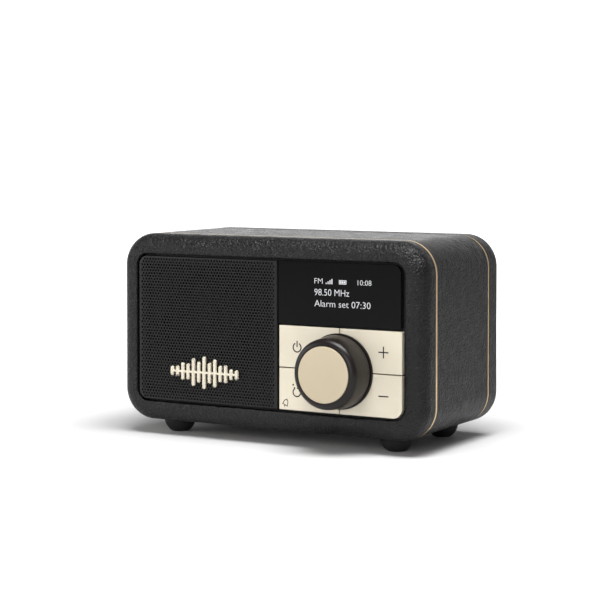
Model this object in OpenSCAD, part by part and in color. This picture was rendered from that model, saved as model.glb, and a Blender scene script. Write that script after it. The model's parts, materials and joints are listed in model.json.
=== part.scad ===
// Tabletop radio: a leatherette cabinet with metal piping, loudspeaker, display, push buttons,
// rotary knob, rear cover with sockets, and a telescopic aerial folded along the back.
// Units are millimetres. +X is the user's right seen from the front, +Y runs from front to rear, +Z is up.
// The origin is on the table, under the middle of the whole outline.
// Depths (d) are measured rearwards from the front plane, heights (h) upwards from the cabinet's underside.

/* [Cabinet] */
// Width of the cabinet
body_w = 150; // [146:1:156]
// Height of the cabinet without its feet
body_h = 82.5; // [80:0.5:86]
// Depth of the cabinet from front plane to rear plane
body_d = 76.6; // [76:0.2:82]
// Radius of the cabinet's long corners
corner_r = 14; // [13:0.5:16]
// Roundover of the front edge
front_edge_r = 6.8; // [5:0.1:8]
// Roundover of the rear edge
rear_edge_r = 6.4; // [5:0.1:8]
// Width of the border around the front opening
border = 8.65; // [8.4:0.05:9]
// Corner radius of the front and rear openings
opening_r = 5; // [4:0.5:6]
// Width of each metal piping strip
piping_w = 2; // [1.2:0.1:2.2]
// Depth of the middle of the front piping
front_piping_d = 11.5; // [11.2:0.1:12.5]
// Depth of the middle of the rear piping, measured from the rear plane
rear_piping_back = 13.5; // [13:0.1:14]

/* [Feet] */
// Height of a foot
foot_h = 6; // [5:0.5:6.5]
// Radius of the dome that a foot is cut from
foot_r = 7; // [7:0.5:8]
// Distance of the feet from the middle, sideways
foot_x = 54.2; // [50:0.2:58]
// Depth of the front feet
foot_front_d = 16.2; // [16:0.2:20]
// Depth of the rear feet
foot_rear_d = 60.2; // [56:0.2:60.4]

/* [Front] */
// Depth of the faces of grille, window and buttons behind the front plane
face_d = 0.4; // [0.2:0.1:0.8]
// Visible gap between the opening and what it holds
reveal = 1; // [0.8:0.1:1.2]
// Left edge of the button block and the window
controls_x = 6.6; // [6:0.1:8]
// Height of the top edge of the button block
controls_top_h = 45.6; // [44:0.05:46]
// Gap between neighbouring buttons
button_gap = 0.5; // [0.4:0.1:0.7]
// Travel of a button
button_travel = 0.6; // [0.4:0.1:0.8]
// Radius of the loudspeaker's opening
speaker_r = 25; // [24:0.5:25]

/* [Knob] */
// Distance from the front plane to the front of the knob
knob_proj = 13.8; // [12:0.1:15]
// Radius of the knob's front
knob_r = 14.7; // [13.5:0.1:15]
// Radius of the metal disc in the knob's front
knob_face_r = 11.7; // [11:0.1:12]
// Radius of the fixed collar under the knob
collar_r = 15.9; // [15.5:0.1:16.2]
// Travel of the knob when it is pressed
knob_travel = 0.7; // [0.4:0.1:0.8]

/* [Aerial] */
// Outer radius of the thickest tube
aerial_r = 2.4; // [2.4:0.05:2.6]
// Length of the thickest tube
aerial_len = 98; // [90:1:100]
// Sideways place of the aerial's pivot
aerial_x = 51; // [49:0.5:52]
// Height of the aerial's pivot
aerial_h = 62; // [60.5:0.5:62.5]

/* [Hidden] */
$fn = 64;

// Outline and origin
aerial_gap = 0.5;
ear_r = 2.7;
aerial_proj = aerial_gap + aerial_r + ear_r;
total_d = knob_proj + body_d + aerial_proj;
front_y = knob_proj - total_d / 2;
mid_h = body_h / 2;

// Cabinet walls
wrap_inset = 0.1;
skin_gap = 0.05;
shell_inset = 1.3;
shell_t = 3;
shell_front_d = 8.3;
shell_rear_d = body_d - 8.3;
shell_w = body_w - 2 * shell_inset;
shell_h = body_h - 2 * shell_inset;
shell_r = corner_r - shell_inset;
cavity_w = shell_w - 2 * shell_t;
cavity_h = shell_h - 2 * shell_t;
cavity_r = shell_r - shell_t;
opening_w = body_w - 2 * border;
opening_h = body_h - 2 * border;
front_piping_0 = front_piping_d - piping_w / 2;
front_piping_1 = front_piping_d + piping_w / 2;
rear_piping_0 = body_d - rear_piping_back - piping_w / 2;
rear_piping_1 = rear_piping_0 + piping_w;
lip_d = 4;
fit_gap = 0.1;

// Feet
foot_places = [
    [-foot_x, foot_front_d], [foot_x, foot_front_d], [-foot_x, foot_rear_d], [foot_x, foot_rear_d]
];
foot_recess_r = 2;
foot_recess_h = 3;
foot_screw_r = 1.2;

// Front panel and what it carries
panel_0 = lip_d + fit_gap;
panel_1 = panel_0 + 2.5;
grille_x0 = -opening_w / 2 + reveal;
grille_x1 = controls_x - 1.1;
grille_h0 = border + reveal;
grille_h1 = body_h - border - reveal;
inner_r = opening_r - reveal;
grille_t = 0.8;
grille_rim_d = 3;
controls_x1 = opening_w / 2 - reveal - 0.65;
controls_h0 = border + reveal + 0.25;
window_x0 = controls_x - 0.4;
window_x1 = controls_x1 - 0.5;
window_h0 = controls_top_h + 0.8;
window_h1 = body_h - border - 0.85;
window_t = 1.5;
knob_x = (controls_x + controls_x1) / 2;
knob_h = (controls_h0 + controls_top_h) / 2;
speaker_x = -30;
panel_screw_places = [
    [-68.5, 18], [-68.5, body_h - 18], [68.5, 18], [68.5, body_h - 18], [-30, 6.4], [-30, body_h - 6.4]
];

// Buttons and switches
button_t = 2.2;
button_hole_r = 8.6;
stem_x = 20;
stem_z = 9.5;
stem_r = 2;
guide_x = 25.5;
guide_z = 14.2;
guide_r = 1.2;
board_0 = 14;
board_1 = 15.6;
switch_d = 10.5;
switch_size = 6;
plunger_r = 1.6;
plunger_0 = switch_d - button_travel - 0.7;
plunger_1 = switch_d + 0.5;
button_corner_r = 4.2;
board_hole_places = [[24, 12.5], [48, 12.5], [11, 70], [63, 70]];

// Display
display_w = 35;
display_h = 19.5;
display_x = 37.3;
display_mid_h = 60.2;

// Rotary encoder and knob
collar_0 = -0.6;
hub_r = 8;
bush_r = 3.5;
shaft_r = 3;
shaft_front_d = -6;
running_gap = 0.05;
rotor_0 = 9.6;
rotor_1 = 11.2;
nut_0 = -0.5;
knob_rear_d = collar_0 - knob_travel - 0.4;
knob_skirt_r = knob_r + 0.7;
knob_edge_r = 2.6;
knob_rim_proj = knob_proj - 0.3;
shaft_flat = 2.2;
shaft_tip_d = -knob_rim_proj + 1.4;
shaft_end_d = 12.4;

// Loudspeaker
speaker_h = mid_h;
flange = 57;
flange_hole = 24.5;
speaker_screw_x = 24.5;
cone_r = 19.8;
coil_r = 6.15;

// Rear
rear_gasket_t = 0.6;
ledge_0 = shell_rear_d + fit_gap;
ledge_1 = body_d - 5.1;
ledge_w = 124;
ledge_h = 56;
ledge_r = 12;
back_0 = ledge_1 + rear_gasket_t;
back_1 = back_0 + 2.5;
back_gap = 0.3;
rear_screw_places = [[-61.3, 14], [61.3, 14], [-61.3, body_h - 14], [61.3, body_h - 14]];
radiator_x = -24;
radiator_h = 36;
radiator_w = 60;
radiator_tall = 34;
usb_x = 28;
phones_x = 43;
socket_h = 20;
phones_bore_r = 1.8;
phones_bore_len = 14;
rear_board_0 = 58;
rear_board_1 = 59.6;
rear_boss_places = [[18, 20], [54, 20], [18, 56], [50, 50]];

// Battery
cell_r = 9.1;
cell_len = 65;
cell_x0 = -58;
cell_d = 44;
cell_h = shell_inset + shell_t + 1 + cell_r + 0.1;

// Aerial
whip_d = body_d + aerial_gap + aerial_r;
tube_wall = 0.35;
tube_end_x = aerial_x - 5 - aerial_len;
tube_2_r = aerial_r - tube_wall - running_gap;
rod_r = tube_2_r - tube_wall - running_gap;
pin_r = 1;
tongue_half = 1.3;
ear_half = 3.1;

// Route of the loudspeaker's lead, from the terminal tab to the main board, as [x, d, h]
lead_route = [
    [-4.5, 17, 30], [-4.5, 18.5, 30], [-4, 20.5, 29.5], [-2.5, 23, 28.5], [0, 26.5, 27.5], [3, 31, 27],
    [5.5, 36, 27.5], [8, 41, 28.5], [10.5, 46, 29.5], [13.5, 50.5, 30.3], [16, 54, 30.5], [17, 56.3, 30.5],
    [17, 58, 30.5]
];
lead_r = 0.6;
lead_sides = 8;

// ---------------------------------------------------------------- helpers

// Extrudes a shape drawn in x and h from depth d0 back to depth d1.
module slab(d0, d1) {
    translate([0, front_y + d1, foot_h]) rotate([90, 0, 0]) linear_extrude(d1 - d0) children();
}

// A cylinder along the depth.
module rod(x, h, r, d0, d1) {
    translate([x, front_y + d1, foot_h + h]) rotate([90, 0, 0]) cylinder(r = r, h = d1 - d0);
}

// A turned piece: the children are drawn as radius and distance forward of the front plane.
module turned(x, h) {
    translate([x, front_y, foot_h + h]) rotate([90, 0, 0]) rotate_extrude() children();
}

// A cross-section drawn by its corners in radius and depth.
module lathe(x, h, corners) {
    turned(x, h) polygon([for (c = corners) [c[0], -c[1]]]);
}

// A rectangle from one corner to the other, in x and h.
module rect(x0, x1, h0, h1) {
    translate([x0, h0]) square([x1 - x0, h1 - h0]);
}

// A rounded rectangle around the cabinet's middle.
module round_rect(w, h, r) {
    translate([0, mid_h]) {
        square([w - 2 * r, h], center = true);
        square([w, h - 2 * r], center = true);
        for (sx = [-1, 1], sy = [-1, 1]) translate([sx * (w / 2 - r), sy * (h / 2 - r)]) circle(r);
    }
}

// A rectangle whose corners are rounded where the flags say, in the order
// lower left, lower right, upper left, upper right.
module cornered_rect(x0, x1, h0, h1, r, flags) {
    difference() {
        rect(x0, x1, h0, h1);
        for (i = [0:3])
            if (flags[i]) {
                right = i % 2;
                upper = floor(i / 2);
                translate([right ? x1 - r : x0 + r, upper ? h1 - r : h0 + r])
                    difference() {
                        translate([right ? 0 : -r - 1, upper ? 0 : -r - 1]) square(r + 1);
                        circle(r);
                    }
            }
    }
}

// A slot with round ends, or a racetrack.
module stadium(w, h) {
    square([w - h, h], center = true);
    for (s = [-1, 1]) translate([s * (w - h) / 2, 0]) circle(h / 2);
}

// A quarter of a disc in the first quadrant.
module quarter(r) {
    intersection() {
        circle(r);
        square(r);
    }
}

// A rounded-rectangle slab, t thick, whose upper edge is rounded by e. It stands on z = 0.
module crowned_slab(w, h, t, r, e) {
    linear_extrude(t - e) translate([0, -mid_h]) round_rect(w, h, r);
    translate([0, 0, t - e]) {
        linear_extrude(e) translate([0, -mid_h]) round_rect(w - 2 * e, h - 2 * e, r - e);
        for (i = [0:3]) {
            sx = [1, -1, -1, 1][i];
            sy = [1, 1, -1, -1][i];
            across = i % 2 == 0 ? h : w;
            run = i % 2 == 0 ? w : h;
            translate([sx * (w / 2 - r), sy * (h / 2 - r), 0]) rotate([0, 0, i * 90])
                rotate_extrude(angle = 90) translate([r - e, 0]) quarter(e);
            rotate([0, 0, i * 90]) translate([run / 2 - e, across / 2 - r, 0]) rotate([90, 0, 0])
                linear_extrude(across - 2 * r) quarter(e);
        }
    }
}

// A cross-head screw along the depth, its head's face at depth d and its tip forward of it.
module screw_forward(x, h, r, head_r, head_t, d, length) {
    difference() {
        rod(x, h, head_r, d - head_t, d);
        slab(d - head_t * 0.6, d + 1) translate([x, h]) {
            square([head_r * 1.2, head_r * 0.3], center = true);
            square([head_r * 0.3, head_r * 1.2], center = true);
        }
    }
    rod(x, h, r, d - length, d - head_t);
}

// ---------------------------------------------------------------- cabinet

module foot_screw_holes() {
    for (p = foot_places)
        translate([p[0], front_y + p[1], -1]) cylinder(r = foot_screw_r + 0.05, h = foot_h + 9);
}

module cabinet_shell() {
    color("#3a3128") difference() {
        slab(shell_front_d, shell_rear_d) round_rect(shell_w, shell_h, shell_r);
        slab(shell_front_d - 1, shell_rear_d + 1) round_rect(cavity_w, cavity_h, cavity_r);
        foot_screw_holes();
    }
}

module cabinet_wrap() {
    outer_w = body_w - 2 * wrap_inset;
    outer_h = body_h - 2 * wrap_inset;
    color("#2b2b2c") difference() {
        slab(front_piping_1 + skin_gap, rear_piping_0 - skin_gap)
            round_rect(outer_w, outer_h, corner_r - wrap_inset);
        slab(front_piping_1 - 1, rear_piping_0 + 1)
            round_rect(shell_w + 2 * skin_gap, shell_h + 2 * skin_gap, shell_r + skin_gap);
        foot_screw_holes();
    }
}

module piping(d0) {
    color("#c8aa78") difference() {
        slab(d0, d0 + piping_w) round_rect(body_w, body_h, corner_r);
        slab(d0 - 1, d0 + piping_w + 1)
            round_rect(shell_w + 2 * skin_gap, shell_h + 2 * skin_gap, shell_r + skin_gap);
    }
}

module shell_pocket(d0, d1) {
    slab(d0, d1) round_rect(shell_w + 2 * fit_gap, shell_h + 2 * fit_gap, shell_r + fit_gap);
}

module front_frame() {
    depth = front_piping_0 - skin_gap;
    color("#2b2b2c") difference() {
        translate([0, front_y + depth, foot_h + mid_h]) rotate([90, 0, 0])
            crowned_slab(body_w, body_h, depth, corner_r, front_edge_r);
        slab(-1, lip_d + 1) round_rect(opening_w, opening_h, opening_r);
        slab(lip_d, shell_front_d + 1) round_rect(cavity_w, cavity_h, cavity_r);
        shell_pocket(shell_front_d - fit_gap, front_piping_1);
        for (p = panel_screw_places) rod(p[0], p[1], 0.85, 1.8, lip_d + 1);
    }
}

module rear_frame() {
    depth = body_d - rear_piping_1 - skin_gap;
    color("#2b2b2c") difference() {
        translate([0, front_y + body_d - depth, foot_h + mid_h]) rotate([-90, 0, 0])
            crowned_slab(body_w, body_h, depth, corner_r, rear_edge_r);
        shell_pocket(rear_piping_0, ledge_0);
        slab(ledge_0 - 1, body_d) round_rect(ledge_w, ledge_h, ledge_r);
        slab(ledge_1, body_d + 1) round_rect(opening_w, opening_h, opening_r);
        for (p = rear_screw_places) rod(p[0], p[1], 1.05, ledge_0, ledge_1 + 1);
    }
}

module foot(i) {
    p = foot_places[i];
    color("#161616") translate([p[0], front_y + p[1], 0]) difference() {
        translate([0, 0, foot_h]) intersection() {
            sphere(foot_r);
            translate([-foot_r, -foot_r, -foot_h]) cube([2 * foot_r, 2 * foot_r, foot_h]);
        }
        translate([0, 0, -1]) cylinder(r = foot_recess_r, h = foot_recess_h + 1);
        cylinder(r = foot_screw_r + 0.05, h = foot_h + 1);
    }
}

module foot_screws() {
    color("#8b8b8b") for (p = foot_places) translate([p[0], front_y + p[1], 0]) {
        translate([0, 0, foot_recess_h - 1.3]) difference() {
            cylinder(r = foot_recess_r - 0.15, h = 1.3);
            translate([0, 0, -0.1]) {
                translate([-1, -0.25, 0]) cube([2, 0.5, 0.8]);
                translate([-0.25, -1, 0]) cube([0.5, 2, 0.8]);
            }
        }
        translate([0, 0, foot_recess_h]) cylinder(r = foot_screw_r, h = foot_h + 6 - foot_recess_h);
    }
}

// ---------------------------------------------------------------- front

module grille_outline(inset) {
    cornered_rect(grille_x0 + inset, grille_x1 - inset, grille_h0 + inset, grille_h1 - inset,
                  max(inner_r - inset, 0.5), [1, 0, 1, 0]);
}

module window_outline(inset) {
    cornered_rect(window_x0 + inset, window_x1 - inset, window_h0 + inset, window_h1 - inset,
                  inner_r, [0, 0, 0, 1]);
}

// Places of the four buttons' middles around the knob, as signs in x and h.
module at_stems() {
    for (sx = [-1, 1], sz = [-1, 1]) translate([knob_x + sx * stem_x, knob_h + sz * stem_z]) children();
}

module at_guides() {
    for (sx = [-1, 1], sz = [-1, 1]) translate([knob_x + sx * guide_x, knob_h + sz * guide_z]) children();
}

module front_panel() {
    color("#1b1b1b") difference() {
        union() {
            slab(panel_0, panel_1) round_rect(cavity_w - 0.6, cavity_h - 0.6, cavity_r - 0.3);
            difference() {
                slab(face_d + grille_t, panel_0 + 1) grille_outline(1);
                slab(face_d, panel_0) grille_outline(3.6);
            }
            slab(face_d + window_t, panel_0 + 1) window_outline(0.4);
            for (p = board_hole_places) rod(p[0], p[1], 2.4, panel_1 - 1, board_0);
        }
        slab(0, panel_1 + 1) translate([speaker_x, speaker_h]) circle(speaker_r);
        slab(0, panel_1 + 1)
            translate([display_x, display_mid_h]) square([display_w + 0.6, display_h + 0.6], center = true);
        slab(panel_0 - 1, panel_1 + 1) {
            at_stems() circle(stem_r + 0.4);
            at_guides() circle(guide_r + 0.35);
            translate([knob_x, knob_h]) circle(bush_r + 0.2);
            for (p = panel_screw_places) translate(p) circle(0.95);
        }
        slab(panel_0 + 0.4, panel_1 + 1) at_speaker_screws() circle(1.05);
        for (p = board_hole_places) rod(p[0], p[1], 0.95, panel_1 + 1, board_0 + 1);
    }
}

module front_panel_screws() {
    color("#777777") for (p = panel_screw_places)
        screw_forward(p[0], p[1], 0.8, 1.6, 1.2, panel_1 + 1.2, 5);
}

module speaker_grille() {
    color("#3f3f40") difference() {
        slab(face_d, grille_rim_d) grille_outline(0);
        slab(face_d + grille_t, grille_rim_d + 1) grille_outline(0.9);
    }
}

// A raised row of bars whose heights follow a swelling wave.
module emblem() {
    bars = 13;
    pitch = 2.75;
    bar_w = 1.4;
    color("#efe9dc") slab(-0.8, face_d) translate([-30.8, 23]) {
        translate([-(bars - 1) * pitch / 2, -0.4]) square([(bars - 1) * pitch, 0.8]);
        for (i = [0:bars - 1]) {
            tall = 3.5 + 10.5 * pow(sin(180 * (i + 1) / (bars + 1)), 2) * (i % 2 == 0 ? 1 : 0.55);
            translate([(i - (bars - 1) / 2) * pitch, 0]) rotate(90) stadium(tall, bar_w);
        }
    }
}

module display_window() {
    color("#111112") slab(face_d, face_d + window_t) window_outline(0);
}

module display_module() {
    color("#0d1b12") {
        slab(face_d + window_t + 0.1, panel_1 + 0.2)
            translate([display_x, display_mid_h]) square([display_w, display_h], center = true);
        slab(panel_1 + 0.1, panel_1 + 1.4)
            translate([display_x, display_mid_h]) square([40, 24], center = true);
    }
}

// One button: a quarter of the block, with a stem that reaches its switch and a guide pin.
module button(sx, sz) {
    color("#eee6d2") {
        difference() {
            slab(face_d, face_d + button_t) intersection() {
                cornered_rect(controls_x, controls_x1, controls_h0, controls_top_h, button_corner_r,
                              [0, 1, 0, 0]);
                translate([knob_x + sx * (button_gap / 2 + 25), knob_h + sz * (button_gap / 2 + 15)])
                    square([50, 30], center = true);
            }
            rod(knob_x, knob_h, button_hole_r, face_d - 1, face_d + button_t + 1);
        }
        rod(knob_x + sx * stem_x, knob_h + sz * stem_z, stem_r, face_d + button_t - 0.5, plunger_0);
        rod(knob_x + sx * guide_x, knob_h + sz * guide_z, guide_r, face_d + button_t - 0.5, panel_1 - 0.6);
    }
}

module plunger(sx, sz) {
    color("#202020") rod(knob_x + sx * stem_x, knob_h + sz * stem_z, plunger_r, plunger_0, plunger_1);
}

module tact_switches() {
    color("#9a9a9a") difference() {
        slab(switch_d, board_0) at_stems() square(switch_size, center = true);
        slab(switch_d - 1, 12.2) at_stems() circle(plunger_r + 0.1);
    }
}

module front_board() {
    color("#1d5a35") difference() {
        union() {
            slab(board_0, board_1) rect(8, 66, 9, 73.4);
            slab(board_1 - 0.5, board_1 + 2.4) rect(38, 52, 34, 38);
            slab(board_1 - 0.5, board_1 + 1.2) rect(16, 30, 48, 62);
        }
        for (p = board_hole_places) rod(p[0], p[1], 1.15, board_0 - 1, board_1 + 1);
    }
}

module board_screws() {
    color("#b9b9b9") {
        for (p = board_hole_places) screw_forward(p[0], p[1], 0.9, 1.9, 1.2, board_1 + 1.2, 6);
        for (p = rear_boss_places)
            translate([p[0], front_y + rear_board_0 - 1.2, foot_h + p[1]]) rotate([-90, 0, 0]) {
                cylinder(r = 1.9, h = 1.2);
                cylinder(r = 0.9, h = 6);
            }
    }
}

// ---------------------------------------------------------------- knob and encoder

module encoder_body() {
    color("#8d8f92") difference() {
        union() {
            slab(panel_1 + 0.6, board_0)
                translate([knob_x, knob_h]) square([12.4, 13.2], center = true);
            rod(knob_x, knob_h, bush_r, nut_0, panel_1 + 1);
        }
        rod(knob_x, knob_h, shaft_r + running_gap, collar_0 - 1, rotor_0);
        rod(knob_x, knob_h, 5.2, rotor_0 - 0.4, board_0 - 0.6);
    }
}

// A disc across the shaft with two flats left open.
module double_d(r, half) {
    intersection() {
        circle(r);
        square([2 * r + 1, 2 * half], center = true);
    }
}

module encoder_rotor() {
    color("#303030") difference() {
        rod(knob_x, knob_h, 4.8, rotor_0, rotor_1);
        slab(rotor_0 - 1, rotor_1 + 1)
            translate([knob_x, knob_h]) double_d(shaft_r + running_gap, shaft_flat + running_gap);
    }
}

module encoder_shaft() {
    color("#c9c9c9") {
        rod(knob_x, knob_h, shaft_r, shaft_front_d, rotor_0 - knob_travel - 0.4);
        slab(rotor_0 - knob_travel - 0.6, shaft_end_d)
            translate([knob_x, knob_h]) double_d(shaft_r, shaft_flat);
        slab(shaft_tip_d, shaft_front_d + 0.2)
            translate([knob_x, knob_h]) double_d(shaft_r, shaft_flat);
    }
}

module encoder_nut() {
    color("#c9c9c9") difference() {
        slab(nut_0, 0.9) translate([knob_x, knob_h]) circle(5.8, $fn = 6);
        rod(knob_x, knob_h, bush_r + 0.05, -2, 2);
    }
}

module knob_collar() {
    color("#141312") difference() {
        union() {
            rod(knob_x, knob_h, collar_r, collar_0, 0);
            rod(knob_x, knob_h, hub_r, -0.5, panel_0);
        }
        rod(knob_x, knob_h, 6.6, collar_0 - 1, 0.9);
        rod(knob_x, knob_h, bush_r + 0.1, 0, panel_0 + 1);
    }
}

module knob_body() {
    rear = -knob_rear_d;
    front = knob_rim_proj;
    color("#2b2624") difference() {
        turned(knob_x, knob_h) difference() {
            polygon([
                [0, rear], [knob_skirt_r, rear], [knob_r, front - knob_edge_r], [knob_r, front], [0, front]
            ]);
            translate([knob_r - knob_edge_r, front - knob_edge_r]) difference() {
                square(knob_edge_r + 1);
                circle(knob_edge_r);
            }
        }
        rod(knob_x, knob_h, knob_face_r + 0.1, -knob_proj - 1, -knob_rim_proj + 0.8);
        difference() {
            rod(knob_x, knob_h, knob_r - 1.9, -knob_rim_proj + 2.2, knob_rear_d + 1);
            rod(knob_x, knob_h, 5.5, -knob_rim_proj, knob_rear_d + 2);
        }
        slab(shaft_tip_d - 0.1, shaft_front_d)
            translate([knob_x, knob_h]) double_d(shaft_r + running_gap, shaft_flat + running_gap);
        rod(knob_x, knob_h, shaft_r + fit_gap, shaft_front_d - fit_gap, knob_rear_d + 1);
    }
}

module knob_face() {
    color("#d3c3a2") rod(knob_x, knob_h, knob_face_r, -knob_proj, -knob_rim_proj + 0.8);
}

// ---------------------------------------------------------------- loudspeaker

module at_speaker_screws() {
    for (sx = [-1, 1], sz = [-1, 1])
        translate([speaker_x + sx * speaker_screw_x, speaker_h + sz * speaker_screw_x]) children();
}

module speaker_basket() {
    color("#4a4c4e") difference() {
        union() {
            slab(panel_1, panel_1 + 1.4) difference() {
                cornered_rect(speaker_x - flange / 2, speaker_x + flange / 2, speaker_h - flange / 2,
                              speaker_h + flange / 2, 6, [1, 1, 1, 1]);
                translate([speaker_x, speaker_h]) circle(flange_hole + 0.1);
            }
            lathe(speaker_x, speaker_h, [
                [flange_hole + 0.1, panel_1], [26.6, panel_1], [26.6, 9], [18.4, 18.8], [18.4, 20.4],
                [8.5, 20.4], [8.5, 19], [17, 19], [25.2, 9.6], [23.9, 9.45], [flange_hole + 0.1, 9.45]
            ]);
            slab(panel_1 + 1, lead_route[0][1]) rect(-6, -3, 27, 32);
        }
        slab(panel_1 - 1, panel_1 + 3) at_speaker_screws() circle(1.25);
        for (a = [45:90:315])
            translate([speaker_x, front_y + 14.6, foot_h + speaker_h]) rotate([0, a, 0])
                translate([14, -2.6, -6]) cube([14, 5.2, 12]);
    }
}

module speaker_magnet() {
    color("#2c2d2f") lathe(speaker_x, speaker_h, [
        [0, 20.2], [5.7, 20.2], [5.7, 28.5], [9, 28.5], [9, 22.5], [7, 22.5], [7, 20.4], [15, 20.4],
        [15, 22.5], [17, 22.5], [17, 28.5], [15, 28.5], [15, 31], [0, 31]
    ]);
}

module speaker_cone() {
    color("#1c1c1e") lathe(speaker_x, speaker_h, [
        [coil_r + 0.35, 15.5], [cone_r - 0.6, 9.2], [cone_r, 9.2], [cone_r, 9.7], [cone_r - 0.6, 9.8],
        [coil_r + 0.35, 16.2]
    ]);
}

module speaker_dust_cap() {
    cap_r = 7.4;
    dome_r = 15.75;
    color("#1a1a1c") translate([speaker_x, front_y + 12.8 + dome_r, foot_h + speaker_h]) rotate([90, 0, 0])
        intersection() {
            difference() {
                sphere(dome_r);
                sphere(dome_r - 0.4);
            }
            translate([0, 0, 1]) cylinder(r = cap_r, h = dome_r);
        }
}

module speaker_surround() {
    roll_r = 2;
    roll_mid = 22.1;
    color("#151515") turned(speaker_x, speaker_h) translate([roll_mid, -9.4]) {
        difference() {
            circle(roll_r);
            circle(roll_r - 0.5);
            translate([-5, -10]) square([10, 10]);
        }
        translate([-roll_r, 0]) square([0.5, 0.5]);
        translate([roll_r - 0.5, 0]) square([0.8, 0.5]);
    }
}

module voice_coil() {
    color("#b5703a") lathe(speaker_x, speaker_h, [
        [coil_r, 15.4], [coil_r + 0.3, 15.4], [coil_r + 0.3, 24.5], [coil_r, 24.5]
    ]);
}

module speaker_screws() {
    color("#777777") for (sx = [-1, 1], sz = [-1, 1])
        screw_forward(speaker_x + sx * speaker_screw_x, speaker_h + sz * speaker_screw_x, 1, 2.1, 1.2,
                      panel_1 + 2.6, 4.6);
}

// ---------------------------------------------------------------- rear

module at_radiator() {
    translate([radiator_x, radiator_h]) children();
}

module rear_panel() {
    panel_w = opening_w - 2 * back_gap;
    panel_h = opening_h - 2 * back_gap;
    vents = 7;
    vent_pitch = 4.6;
    color("#1b1b1b") difference() {
        union() {
            slab(back_0, back_1) round_rect(panel_w, panel_h, opening_r - back_gap);
            slab(back_0 - 4.4, back_0 + 1) at_radiator() difference() {
                stadium(radiator_w + 3.6, radiator_tall + 3.6);
                stadium(radiator_w, radiator_tall);
            }
            for (p = rear_boss_places) rod(p[0], p[1], 2.4, rear_board_1, back_0 + 1);
        }
        slab(back_0 - 1, back_1 + 1) at_radiator() for (i = [0:vents - 1]) {
            rise = (i - (vents - 1) / 2) * vent_pitch;
            span = radiator_w - radiator_tall + 2 * sqrt(pow(radiator_tall / 2, 2) - pow(rise, 2)) - 5;
            translate([0, rise]) stadium(span, 2.2);
        }
        slab(back_0 - 1, back_1 + 1) translate([usb_x, socket_h]) stadium(10.4, 4.6);
        slab(back_0 - 1, back_1 + 1) translate([(usb_x + phones_x) / 2, socket_h]) circle(0.7);
        rod(phones_x, socket_h, 3.4, back_0 - 1, back_1 + 1);
        rod(aerial_x, aerial_h, 6, back_0 - 1, back_1 + 1);
        for (p = rear_screw_places) {
            rod(p[0], p[1], 1.3, back_0 - 1, back_1 + 1);
            rod(p[0], p[1], 2.3, back_1 - 1.5, back_1 + 1);
        }
        for (p = rear_boss_places) rod(p[0], p[1], 0.95, rear_board_0, rear_board_1 + 6);
    }
}

module rear_panel_screws() {
    color("#2a2a2a") for (p = rear_screw_places) screw_forward(p[0], p[1], 1, 2.1, 1.4, back_1 - 0.1, 6.5);
}

module rear_gasket() {
    color("#101010") slab(ledge_1, back_0) difference() {
        round_rect(opening_w - 1.2, opening_h - 1.2, opening_r - 0.6);
        round_rect(ledge_w, ledge_h, ledge_r);
        for (p = rear_screw_places) translate(p) circle(1.3);
    }
}

// Half of a rubber roll around the plate, drawn as straight runs with turned ends.
module radiator_surround() {
    roll_r = 2.2;
    lip = 0.6;
    run = radiator_w - radiator_tall;
    mid_r = radiator_tall / 2 - roll_r - 0.05;
    color("#141414") translate([radiator_x, front_y + 69.4, foot_h + radiator_h]) rotate([90, 0, 0]) {
        for (side = [0, 1]) rotate([0, 0, 180 * side]) {
            translate([run / 2, 0, 0]) rotate([0, 0, -90]) rotate_extrude(angle = 180)
                translate([mid_r, 0]) roll_section(roll_r, lip);
        }
        for (side = [-1, 1])
            translate([run / 2, side * mid_r, 0]) rotate([90, 0, -90])
                linear_extrude(run) roll_section(roll_r, lip);
    }
}

module roll_section(r, lip) {
    difference() {
        circle(r);
        circle(r - 0.5);
        translate([-2 * r, -2 * r]) square([4 * r, 2 * r]);
    }
    for (x = [-r, r - 0.5]) translate([x, 0]) square([0.5, lip]);
}

module radiator_plate() {
    plate_w = radiator_w - 2 * 4.8;
    plate_tall = radiator_tall - 2 * 4.8;
    color("#202022") {
        slab(68, 69.4) at_radiator() stadium(plate_w, plate_tall);
        slab(66, 68.1) at_radiator() stadium(plate_w - 10, plate_tall - 8);
    }
}

module usb_socket() {
    color("#a9abad") {
        slab(rear_board_1, rear_board_1 + 5)
            translate([usb_x, socket_h]) square([11, 6], center = true);
        difference() {
            slab(rear_board_1 + 4, back_1 - 0.6) translate([usb_x, socket_h]) stadium(9.6, 3.8);
            slab(rear_board_1 + 6, back_1 + 1) translate([usb_x, socket_h]) stadium(8.9, 3.2);
        }
        slab(rear_board_1 + 4, back_1 - 1.6)
            translate([usb_x, socket_h]) square([6.6, 0.8], center = true);
    }
}

module headphone_socket() {
    face = back_1 - 0.2;
    color("#141414") difference() {
        union() {
            slab(rear_board_1, back_0 - 0.4)
                translate([phones_x, socket_h]) square([8, 8], center = true);
            rod(phones_x, socket_h, 3.1, back_0 - 1, face);
        }
        rod(phones_x, socket_h, phones_bore_r, face - phones_bore_len, face + 1);
    }
}

module main_board() {
    color("#1d5a35") difference() {
        union() {
            slab(rear_board_0, rear_board_1) rect(13, 60, 14, 63);
            slab(rear_board_0 - 3, rear_board_0 + 0.5) rect(22, 42, 40, 58);
            slab(rear_board_0 - 1.4, rear_board_0 + 0.5) rect(22, 34, 22, 32);
            slab(rear_board_0 - 2.4, rear_board_0 + 0.5) rect(38, 52, 34, 38);
        }
        for (p = rear_boss_places) rod(p[0], p[1], 1.15, rear_board_0 - 4, rear_board_1 + 1);
    }
}

module battery_cell() {
    color("#2f6fa3") translate([cell_x0, front_y + cell_d, foot_h + cell_h]) rotate([0, 90, 0]) {
        cylinder(r = cell_r, h = cell_len - 2);
        cylinder(r = 3, h = cell_len);
    }
}

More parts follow.
